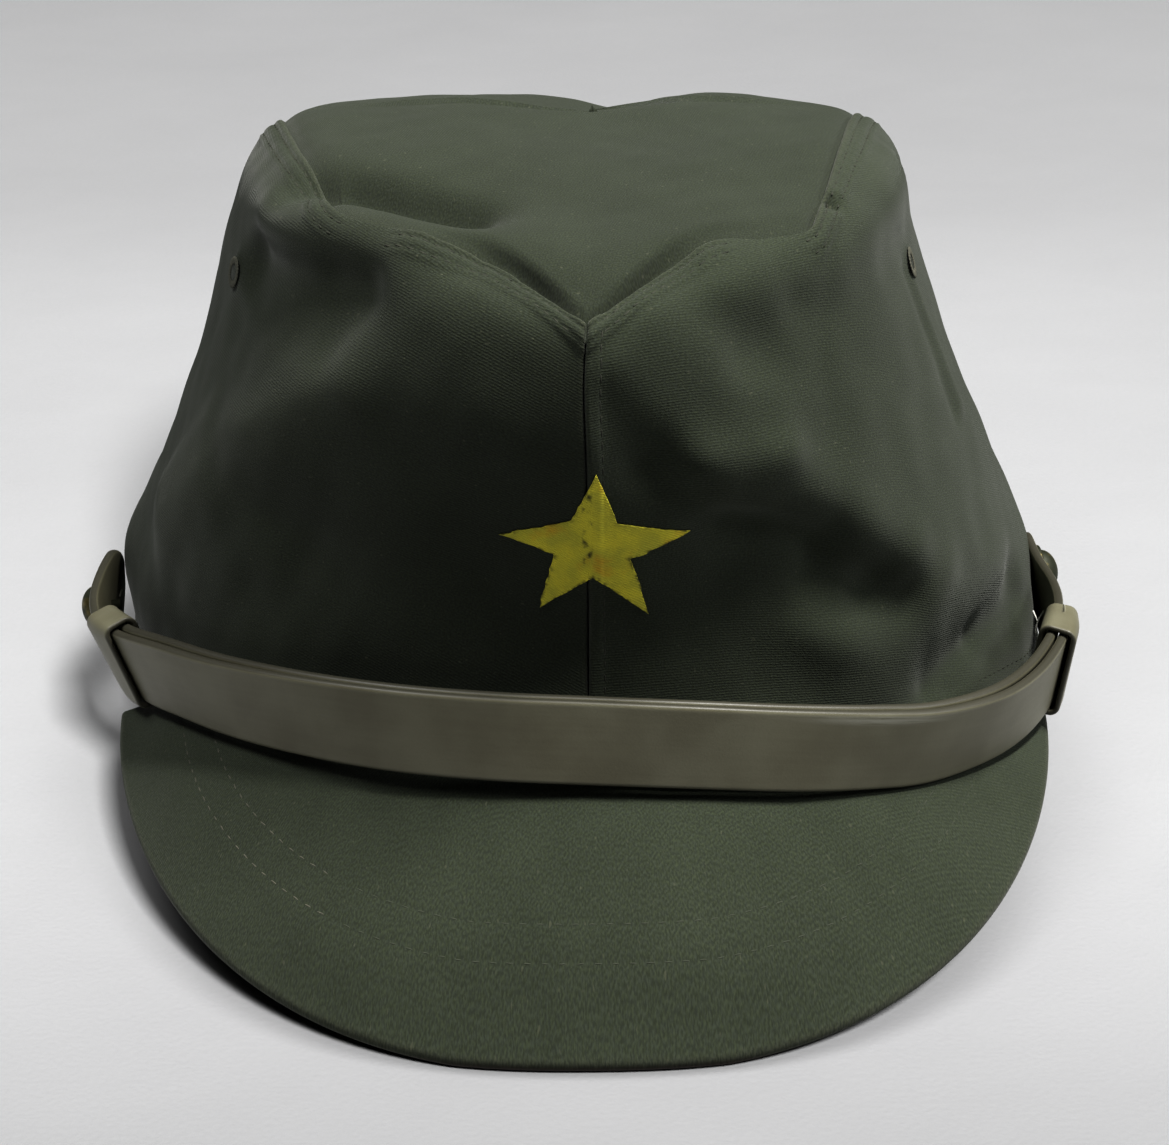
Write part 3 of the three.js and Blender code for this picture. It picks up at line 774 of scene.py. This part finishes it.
def starPiece(name, node):
    corners = []
    for pair in zip(star["tips"], star["notches"]):
        for turn, radius in pair:
            bend = math.radians(turn)
            corners.append((radius * math.cos(bend), radius * math.sin(bend)))
    corners = np.array(corners + corners[:1])
    share = np.linspace(0, 1, star["steps"], endpoint=False)[:, None]
    rim = np.concatenate([a + (b - a) * share for a, b in zip(corners[:-1], corners[1:])])
    wobble = scatter.normal(size=len(rim)) * star["ragged"]
    wobble = (wobble + np.roll(wobble, 1) + np.roll(wobble, 2)) / 1.7
    rim = rim * (1 + (wobble / np.linalg.norm(rim, axis=1))[:, None] * np.where(rim[:, 1:] < 4, 1.2, 0.5))
    rim = np.concatenate([rim, rim[:1]])
    inward = np.concatenate([[0, 0.006, 0.02, 0.05], np.linspace(0.1, 1, star["rows"])])
    spot = rim[None] * (1 - inward)[:, None, None]
    ends = crownFace(np.zeros(2), np.array([star["level"] - 0.5, star["level"] + 0.5]))
    rise = np.linalg.norm(ends[1] - ends[0])
    reach = abs(crownFace(np.zeros(1), np.array([star["level"]]))[0, 1])
    angle = (star["side"] + spot[..., 0]) / reach
    level = star["level"] + spot[..., 1] / rise
    away = np.full(angle.shape, 40.0)
    points, facing = clothFace(angle, level, away, away)
    points = points + facing * (0.06 + star["thickness"])
    fromRim = inward[:, None] * np.linalg.norm(rim, axis=1)[None]
    fullness = rounding(fromRim, 0.3)
    wear = 0.8 * bell(fromRim, 0.7) * np.where(spot[..., 1] < 2, 1, 0.4)
    wall = np.full(angle.shape, star["thickness"])
    return dress(softShell(name, points, facing, wall, fullness, spot, wear), starPaint, "star_paint", node)


starPiece("painted_star", "star")
print("star painted")

# Chin strap: the middle line between its two layers, from the wearer's right end to the left end
strap = {
    "route": [
        # x, y, z, outward lean of the upper edge in degrees
        (-89.2, -4, 33, -2),
        (-90.2, -16, 32.2, 7),
        (-89.4, -27, 31.7, 18),
        (-86.9, -37, 32, 22),
        (-82, -48, 34, 18),
        (-74, -60.5, 37.2, 13),
        (-63.5, -72.5, 39.4, 8),
        (-50, -84.5, 42, 2),
        (-33, -94, 43.8, -4),
        (-15, -98.5, 44.2, -6),
        (0, -99.2, 43.7, -6),
        (18, -98.6, 42.5, -4),
        (35, -95.6, 40.2, -2),
        (48, -91, 37.9, 4),
        (58, -85.2, 35.7, 9),
        (69.5, -74.4, 33.7, 14),
        (78, -62, 32.3, 12),
        (84.5, -48, 31.9, 9),
        (88, -34.5, 31.4, 7),
        (89.3, -22, 30.8, 3),
        (88.8, -11, 31.5, -5),
        (88.3, -3, 32.5, -8),
        (87.9, 3, 33, -8),
    ],
    "width": 15,
    "thickness": 1.7,
    "layerGap": 0.5,
    "tip": 7,
    "tipBlunt": 0.3,
    "keeperRight": 0.127,
    "keeperLeft": 0.848,
    "buttonRight": 0.045,
    "buttonLeft": 0.974,
    "tuck": 0.03,
    "trim": 1,
    "columns": 300,
}


# A smooth line through the route, sampled finely: run, place, and directions along, up and out
def strapLine():
    route = np.array(strap["route"], float)
    spots = route[:, :3]
    spots = np.concatenate([[2 * spots[0] - spots[1]], spots, [2 * spots[-1] - spots[-2]]])
    samples, native = [], []
    for k in range(len(route) - 1):
        p0, p1, p2, p3 = spots[k : k + 4]
        d0, d1, d2 = (math.sqrt(np.linalg.norm(b - a)) for a, b in ((p0, p1), (p1, p2), (p2, p3)))
        slope1 = ((p1 - p0) / d0 - (p2 - p0) / (d0 + d1) + (p2 - p1) / d1) * d1
        slope2 = ((p2 - p1) / d1 - (p3 - p1) / (d1 + d2) + (p3 - p2) / d2) * d1
        for t in np.linspace(0, 1, 24, endpoint=False):
            cubic = (2 * p1 - 2 * p2 + slope1 + slope2) * t**3
            samples.append(cubic + (3 * p2 - 3 * p1 - 2 * slope1 - slope2) * t**2 + slope1 * t + p1)
            native.append(k + t)
    samples = np.array(samples + [route[-1, :3]])
    native = np.array(native + [len(route) - 1])
    run = np.concatenate([[0], np.cumsum(np.linalg.norm(np.diff(samples, axis=0), axis=1))])
    along = unit(np.gradient(samples, run, axis=0))
    up = unit(np.array([0, 0, 1.0]) - along * along[:, 2:])
    lean = np.radians(splineRows(range(len(route)), route[:, 3], native))[:, None]
    up = up * np.cos(lean) + np.cross(along, up) * np.sin(lean)
    return run, np.concatenate([samples, along, up, np.cross(along, up)], 1)


strapRun, strapRows = strapLine()
strapLength = strapRun[-1]


# Place, and directions along, up and out, at shares of the strap's length
def strapAt(share):
    run = np.clip(share, 0, 1) * strapLength
    flat = np.stack([np.interp(run, strapRun, strapRows[:, k]) for k in range(12)], -1)
    place = flat[..., :3] + flat[..., 3:6] * (share * strapLength - run)[..., None]
    return place, unit(flat[..., 3:6]), unit(flat[..., 6:9]), unit(flat[..., 9:12])


layerOffset = (strap["thickness"] + strap["layerGap"]) / 2


def strapLayer(name, node, start, end, offset, trim):
    length = strapLength * (end - start)
    tip = np.concatenate([[0, 0.05, 0.2, 0.5, 1, 1.6], np.linspace(2.4, 10, 10)]) / length
    along = np.concatenate([tip, np.linspace(tip[-1], 1 - tip[-1], strap["columns"])[1:-1], 1 - tip[::-1]])
    edge = np.array([0, 0.03, 0.1, 0.22, 0.45, 0.8, 1.1, 1.4, 1.7, 2.0, 2.4, 3.0]) / strap["width"]
    across = np.concatenate([edge, np.linspace(edge[-1], 1 - edge[-1], 12)[1:-1], 1 - edge[::-1]])
    along, across = np.meshgrid(along, across)
    share = start + (end - start) * along
    place, _, up, out = strapAt(share)
    toTip = np.minimum(along, 1 - along) * length
    away = np.clip(1 - toTip / strap["tip"], 0, 1)
    half = (strap["width"] - trim) / 2 * np.maximum(strap["tipBlunt"], np.sqrt(1 - away**2))
    fromLow = across * strap["width"]
    height = half * (2 * across - 1) + trim / 2
    wave = np.sin(along * length / 9 + offset) * 0.06 + np.sin(along * length / 23 + 2 * offset) * 0.12
    depth = offset + strap["thickness"] / 2 + wave * smoothStep(6, 30, toTip)
    points = place + up * height[..., None] + out * depth[..., None]
    fromEdge = np.minimum(across, 1 - across) * strap["width"] * half / (strap["width"] / 2)
    fullness = rounding(fromEdge, 0.55) * rounding(toTip, 0.55)
    apart = 40 if offset < 0 else 0  # the two layers come from different parts of the hide
    texture = np.stack([share * strapLength, fromLow + apart], -1)
    nearest = np.minimum(fromEdge, toTip)
    # The pale line runs along the upper edges only: a painted highlight where light from above catches them,
    # broken like rubbed wear; the cut edges all round are dark
    wear = 0.75 * bell(nearest - 0.62, 0.16) * (height > 0) - bell(nearest, 0.38)
    wear += 0.8 * bell(fromLow - 13.6, 0.8) * bell(along - 0.73, 0.05) * (offset > 0)
    wall = np.full(along.shape, strap["thickness"])
    piece = softShell(name, points, out, wall, fullness, texture, wear)
    return dress(piece, strapLeather, "strap_leather", node)


outerEnd = strap["keeperLeft"] + strap["tuck"]
innerStart = strap["keeperRight"] - strap["tuck"]
strapLayer("outer_strap", "chin_strap_outer", 0.0, outerEnd, layerOffset, 0)
strapLayer("inner_strap", "chin_strap_inner", innerStart, 1.0, -layerOffset, strap["trim"])
print("chin strap cut:", round(strapLength), "mm")

# Keepers: loops of thin leather round both layers
keeper = {"width": 11.5, "wall": 1.0, "clearance": 0.5, "corner": 1.2, "slackLeft": 0.5, "lean": 0.09}


def keeperLoop(name, node, share, slack):
    inside = strap["thickness"] + strap["layerGap"] / 2 + keeper["clearance"] + keeper["wall"]
    half = strap["width"] / 2 + keeper["clearance"] + keeper["wall"]
    corner = keeper["corner"] + keeper["wall"]
    low, high = -inside, inside + slack
    turns = np.linspace(0, math.pi / 2, 9)
    rim, facing = [], []
    middles = ((high, half), (low, half), (low, -half), (high, -half))
    for count, (x, y) in enumerate(middles):
        centre = np.array([x - math.copysign(corner, x), y - math.copysign(corner, y)])
        bend = np.stack([np.cos(turns + count * math.pi / 2), np.sin(turns + count * math.pi / 2)], 1)
        rim.extend(centre + corner * bend)
        facing.extend(bend)
    rim, facing = np.array(rim + rim[:1]), np.array(facing + facing[:1])
    fineRim, fineFacing = [], []
    for a, b, m, n in zip(rim[:-1], rim[1:], facing[:-1], facing[1:]):
        cuts = max(1, int(np.linalg.norm(b - a) / 0.6))
        for t in np.arange(cuts) / cuts:
            fineRim.append(a + (b - a) * t)
            fineFacing.append(m + (n - m) * t)
    rim, facing = np.array(fineRim + fineRim[:1]), np.array(fineFacing + fineFacing[:1])
    edge = np.array([0, 0.05, 0.15, 0.35, 0.7, 1.1])
    middle = np.linspace(edge[-1], keeper["width"] - edge[-1], 11)[1:-1]
    wide = np.concatenate([edge, middle, keeper["width"] - edge[::-1]])
    offsets = (wide - keeper["width"] / 2) / strapLength
    place, _, up, out = strapAt(share + np.repeat(offsets[:, None], len(rim), 1))
    pinch = 0.18 * (1 - bell(wide - keeper["width"] / 2, 3.2))[:, None]
    spot = rim[None] - pinch[..., None] * facing[None]
    spot[..., 0] -= keeper["lean"] * slack / keeper["slackLeft"] * wide[:, None] * (rim[:, 0] > 0)
    points = place + out * spot[..., :1] + up * spot[..., 1:]
    normal = out * facing[None, :, :1] + up * facing[None, :, 1:]
    fromEdge = np.minimum(wide, keeper["width"] - wide)[:, None] + np.zeros(len(rim))[None]
    run = np.concatenate([[0], np.cumsum(np.linalg.norm(np.diff(rim, axis=0), axis=1))])
    texture = np.stack([np.repeat(run[None], len(wide), 0), np.repeat(wide[:, None], len(run), 1) + 80], -1)
    wear = -0.8 * bell(fromEdge, 0.35)
    wall = np.full(fromEdge.shape, keeper["wall"])
    fullness = rounding(fromEdge, 0.5)
    piece = softShell(name, points[:, ::-1], normal[:, ::-1], wall, fullness, texture[:, ::-1], wear)
    return dress(piece, strapLeather, "strap_leather", node)


keeperLoop("right_loop", "keeper_right", strap["keeperRight"], 0.0)
keeperLoop("left_loop", "keeper_left", strap["keeperLeft"], keeper["slackLeft"])
print("keepers looped")


def spun(mesh, parts, steps):
    whole = {"cent": (0, 0, 0), "axis": (0, 0, 1), "angle": 2 * math.pi, "use_merge": True}
    bmesh.ops.spin(mesh, geom=parts, steps=steps, **whole)
    bmesh.ops.remove_doubles(mesh, verts=mesh.verts, dist=1e-6)


# A turned piece: a profile spun round Z, then set on its place
def turned(name, profile, segments, matrix):
    mesh = bmesh.new()
    line = [mesh.verts.new((radius * mm, 0, height * mm)) for radius, height in profile]
    edges = [mesh.edges.new(pair) for pair in zip(line[:-1], line[1:])]
    spun(mesh, line + edges, segments)
    bmesh.ops.recalc_face_normals(mesh, faces=mesh.faces)
    bmesh.ops.transform(mesh, matrix=matrix, verts=mesh.verts)
    for face in mesh.faces:
        face.smooth = True
    return asPiece(name, mesh)


def setOn(place, facing, upward):
    z = unit(np.asarray(facing, float))
    x = unit(np.cross(upward, z))
    y = np.cross(z, x)
    rows = np.eye(4)
    rows[:3, 0], rows[:3, 1], rows[:3, 2], rows[:3, 3] = x, y, z, toFrame(place)
    return Matrix(rows.tolist())


# Buttons: domes with a rolled rim and a shank through the strap
button = {
    "radius": 5.2,
    "height": 3.8,
    "roll": 0.45,
    "shank": 1.0,
    "shankEnd": -3.6,
    "segments": 56,
    "gap": 0.3,
}


def buttonPiece(name, node, share, offset):
    place, _, up, out = (part[0] for part in strapAt(np.array([share])))
    place = place + out * (offset + strap["thickness"] / 2 + button["gap"])
    reach, roll = button["radius"], button["roll"]
    shank, bottom = button["shank"], button["shankEnd"]
    profile = [(0, bottom), (shank, bottom), (shank, -0.1), (reach - 0.9, -0.1), (reach - 0.3, 0.0)]
    for turn in np.linspace(-80, 120, 9):
        bend = math.radians(turn)
        profile.append((reach - roll + roll * math.cos(bend), roll + roll * math.sin(bend)))
    profile.append((reach - 0.95, 0.72))
    for turn in np.linspace(0.06, 1, 16) * math.pi / 2:
        lift = (button["height"] - 0.75) * math.sin(turn)
        profile.append(((reach - 1.0) * math.cos(turn), 0.75 + lift))
    profile[-1] = (0, button["height"])
    piece = turned(name, profile, button["segments"], setOn(place, out, up))
    return dress(piece, buttonMetal, "button_metal", node)


buttonPiece("right_dome", "button_right", strap["buttonRight"], layerOffset)
buttonPiece("left_dome", "button_left", strap["buttonLeft"], -layerOffset)
print("buttons turned")

# Vents: rings of bound thread, each wrap a small ridge
vent = {"outer": 2.8, "inner": 1.5, "height": 0.16, "level": 4.75, "left": 60, "right": -57, "wraps": 26}


def ventRing(name, node, degrees):
    angle, level = np.array([math.radians(degrees)]), np.array([vent["level"]])
    away = np.full(1, 30.0)
    place, facing = (part[0] for part in clothFace(angle, level, away, away))
    middle, half = (vent["outer"] + vent["inner"]) / 2, (vent["outer"] - vent["inner"]) / 2
    mesh = bmesh.new()
    line = []
    for turn in np.linspace(0, 2 * math.pi, 10, endpoint=False):
        across, height = middle + half * math.cos(turn), 0.1 + vent["height"] * math.sin(turn)
        line.append(mesh.verts.new((across * mm, 0, height * mm)))
    edges = [mesh.edges.new(pair) for pair in zip(line, line[1:] + line[:1])]
    spun(mesh, line + edges, 4 * vent["wraps"])
    for vert in mesh.verts:
        ridge = 1 + 0.14 * math.cos(vent["wraps"] * math.atan2(vert.co.y, vert.co.x))
        spoke = Vector((vert.co.x, vert.co.y, 0)).normalized() * middle * mm
        vert.co = spoke + (vert.co - spoke) * ridge
    bmesh.ops.recalc_face_normals(mesh, faces=mesh.faces)
    bmesh.ops.transform(mesh, matrix=setOn(place, facing, (0, 0, 1)), verts=mesh.verts)
    for face in mesh.faces:
        face.smooth = True
    return dress(asPiece(name, mesh), paleThread, "thread", node)


ventRing("left_ring", "vent_eyelet_left", vent["left"])
ventRing("right_ring", "vent_eyelet_right", vent["right"])
print("vents bound")

# Stitches: short beads of thread laid along a line on the cloth
stitch = {"length": 1.75, "pitch": 2.35, "thick": 0.12, "wide": 0.17}


def stitchLine(mesh, points, facing, pitch, shown=None, lift=0.0):
    run = np.concatenate([[0], np.cumsum(np.linalg.norm(np.diff(points, axis=0), axis=1))])
    along = unit(np.gradient(points, axis=0))
    for at in np.arange(pitch, run[-1] - pitch / 2, pitch):
        place, out, forward = (
            np.array([np.interp(at, run, part[:, k]) for k in range(3)]) for part in (points, facing, along)
        )
        if shown is not None and np.interp(at, run, shown) < 0.1:
            continue
        size = stitch["length"] * scatter.uniform(0.88, 1.08) * mm / 2
        spot = setOn(place + out * lift, out, np.cross(out, forward))
        slant = Matrix.Rotation(scatter.normal() * 0.05, 4, "Z")
        scale = Matrix.Diagonal((size, stitch["wide"] * mm, stitch["thick"] * mm, 1))
        bmesh.ops.create_uvsphere(mesh, u_segments=7, v_segments=5, radius=1.0, matrix=spot @ slant @ scale)


def stitchPiece(name, mesh, material):
    for face in mesh.faces:
        face.smooth = True
    return dress(asPiece(name, mesh), material, "thread")


def topSeamLine(start, end, fromTop):
    angle = np.linspace(start, end, 500)
    down = np.full((1, len(angle)), fromTop)
    rim = climb(angle)[1][-1][None] - down
    points, facing = clothFace(angle[None], levelAt(angle, rim), rim, down)
    return points[0], facing[0], stitch["pitch"], seamShow(angle)


topStitches = bmesh.new()
for startTurn, endTurn in ((0.02, math.pi - 0.02), (-math.pi + 0.02, -0.02)):
    for row in wornCloth["topRows"]:
        stitchLine(topStitches, *topSeamLine(startTurn, endTurn, row))
stitchPiece("top_seam_stitches", topStitches, seamThread)

frontStitches = bmesh.new()
seamLap = wornCloth["frontLap"]
for seamTurn in (seamLap / crown["frontReach"], -math.pi + seamLap / crown["backReach"]):
    angle = np.full(200, seamTurn)
    height = climb(angle[:1])[1][-1][0]
    rim = np.linspace(2, height - 2, 200)
    level = np.interp(rim, climb(angle[:1])[1][:, 0], climb(angle[:1])[0][:, 0])
    stitchLine(frontStitches, *clothFace(angle, level, rim, height - rim), stitch["pitch"])
stitchPiece("centre_seam_stitches", frontStitches, seamThread)

hemStitches = bmesh.new()
for startTurn, endTurn in ((0.03, math.pi - 0.03), (-math.pi + 0.03, -0.03)):
    angle = np.linspace(startTurn, endTurn, 500)
    rim = np.full((1, len(angle)), wornCloth["hem"] + 0.5)
    down = climb(angle)[1][-1][None] - rim
    points, facing = clothFace(angle[None], levelAt(angle, rim), rim, down)
    stitchLine(hemStitches, points[0], facing[0], stitch["pitch"])
stitchPiece("hem_stitches", hemStitches, seamThread)

paleStitches, peakStitches = bmesh.new(), bmesh.new()
turnLine = np.linspace(-0.93, 0.93, 700)
for row in peak["stitchRows"]:
    grid = np.linspace(-0.02, 0.02, 3)
    span = peakSurface(turnLine, np.ones(turnLine.shape))[1]
    share = np.clip(row / span, 0.02, 0.97)
    lines = np.stack([peakCloth3d(turnLine, share + step)[0] for step in grid])
    facing = gridFacing(lines)[1]
    lines = lines[1] + facing * (uneven(lines[1]) * 0.45 - 0.06)[:, None]
    for mesh, keep in ((paleStitches, turnLine < -0.32), (peakStitches, turnLine >= -0.32)):
        keep = keep & (share < 0.9)
        stitchLine(mesh, lines[keep], facing[keep], 2.9, lift=-0.05)
stitchPiece("pale_peak_stitches", paleStitches, paleThread)
stitchPiece("peak_stitches", peakStitches, peakThread)
print("stitches laid")


# Loose ends of thread
def looseThread(name, points, thick, material):
    line = bpy.data.curves.new(name, "CURVE")
    line.dimensions = "3D"
    line.bevel_depth = thick * mm
    line.bevel_resolution = 2
    line.resolution_u = 6
    line.use_fill_caps = True
    spline = line.splines.new("BEZIER")
    spline.bezier_points.add(len(points) - 1)
    for knot, place in zip(spline.bezier_points, toFrame(points)):
        knot.co = place
        knot.handle_left_type = knot.handle_right_type = "AUTO"
    curve = bpy.data.objects.new(name, line)
    mesh = bmesh.new()
    mesh.from_mesh(curve.to_mesh())
    bpy.data.objects.remove(curve)
    return stitchPiece(name, mesh, material)


looseEnds = {
    "left_thread_end": ((86.9, -24, 32.6), (85.9, -24, 30.3), (85.5, -25, 28.2), (86.1, -26, 26.2)),
    "left_thread_fork": ((85.2, -22, 31.7), (85.9, -24, 30.3)),
    "right_thread_end": ((-89.0, -14, 33.5), (-89.5, -14, 32.2)),
}
for name, points in looseEnds.items():
    looseThread(name, points, 0.17, whiteThread)
print("thread ends left loose")

# A plain pale floor with painted light falloff: its colour dims far behind and in front
sheet = {
    "half": 3.0,
    "tone": (0.222, 0.222, 0.223),
    "front": (-0.25, 0.0, 0.55),
    "behind": (0.24, 0.38, 0.9),
}


def paleSheet():
    mesh = bmesh.new()
    bmesh.ops.create_grid(mesh, x_segments=1, y_segments=1, size=sheet["half"])
    data = bpy.data.meshes.new("pale_sheet")
    mesh.to_mesh(data)
    mesh.free()
    piece = bpy.data.objects.new("pale_sheet", data)
    bpy.context.scene.collection.objects.link(piece)
    ground = Finish("pale_sheet")
    place = ground.place()
    soft = ground.noise(place, 14.0, 3.0)
    weave = ground.noise(place, 900.0, 2.0)
    depth = ground.split(place)[1]
    # Painted falloff of light: the floor's colour is darkened towards the front and far behind, like the
    # edge of a pool of light
    dim, bright, least = sheet["front"]
    ahead = least + ground.between(dim, bright, depth) * (1 - least)
    near, far, most = sheet["behind"]
    behind = 1.0 - ground.between(near, far, depth) * (1 - most)
    colour = ground.shade(sheet["tone"], (0.94 + soft * 0.08 + weave * 0.04) * ahead * behind)
    ground.set(Base_Color=colour, Roughness=0.95, Normal=ground.bump(weave * 0.3 + soft * 4.0, 0.0006, 0.35))
    piece.data.materials.append(ground.material)
    return piece


floor = paleSheet()
stageOnly, capOnly = (bpy.data.collections.new(name) for name in ("stage_only", "cap_only"))
for group in (stageOnly, capOnly):
    group.objects.link(floor)
capOnly.collection_objects[0].light_linking.link_state = "EXCLUDE"
print("sheet laid")

# Camera, lights and surroundings
view = {
    "elevation": 24,
    "yaw": -0.77,
    "distance": 605,
    "target": (-0.6, -44, 50),
    "focal": 3324,  # in pixels of a frame this wide
    "width": 1169,
}
yaw, tilt = math.radians(view["yaw"]), math.radians(view["elevation"])
back = Vector((math.sin(yaw) * math.cos(tilt), -math.cos(yaw) * math.cos(tilt), math.sin(tilt)))
camera = bpy.data.objects.new("camera", bpy.data.cameras.new("camera"))
camera.data.sensor_width = 36
camera.data.lens = 36 * view["focal"] / view["width"]
camera.location = Vector(toFrame(view["target"])) + back * view["distance"] * mm
camera.rotation_mode = "QUATERNION"
camera.rotation_quaternion = (-back).to_track_quat("-Z", "Y")
bpy.context.scene.collection.objects.link(camera)
bpy.context.scene.camera = camera

lights = [
    # name, from, size, power, colour
    ("key", (0.75, -0.15, 2.2), (0.8, 0.25), 120, (1.0, 0.98, 0.95)),
    ("wide", (-1.0, -0.1, 2.0), (1.4, 0.25), 43, (1.0, 1.0, 1.0)),
    ("right", (1.8, -0.2, 1.1), (0.5, 0.4), 18, (0.96, 0.98, 1.0)),
    ("front", (0.57, -2.3, 2.1), (0.5, 0.5), 360, (1.0, 1.0, 1.0)),
    ("front_fill", (0.0, 0.0, 2.6), (3.0, 3.0), 125, (1.0, 1.0, 1.0)),
]
for name, place, (wide, deep), power, colour in lights:
    lamp = bpy.data.objects.new(name, bpy.data.lights.new(name, "AREA"))
    lamp.data.shape = "RECTANGLE"
    lamp.data.size, lamp.data.size_y = wide, deep
    lamp.data.energy, lamp.data.color = power, colour
    lamp.location = place
    lamp.rotation_mode = "QUATERNION"
    lamp.rotation_quaternion = (Vector((0, 0, 0.06)) - lamp.location).to_track_quat("-Z", "Y")
    bpy.context.scene.collection.objects.link(lamp)
    lamp.light_linking.receiver_collection = stageOnly if "front" in name else capOnly

world = bpy.data.worlds.new("room")
world.use_nodes = True
world.node_tree.nodes["Background"].inputs["Color"].default_value = (0.9, 0.93, 1.0, 1)
world.node_tree.nodes["Background"].inputs["Strength"].default_value = 0.015
bpy.context.scene.world = world
bpy.context.scene.view_settings.view_transform = "Standard"
bpy.context.scene.view_settings.gamma = 0.75
print("stage lit")
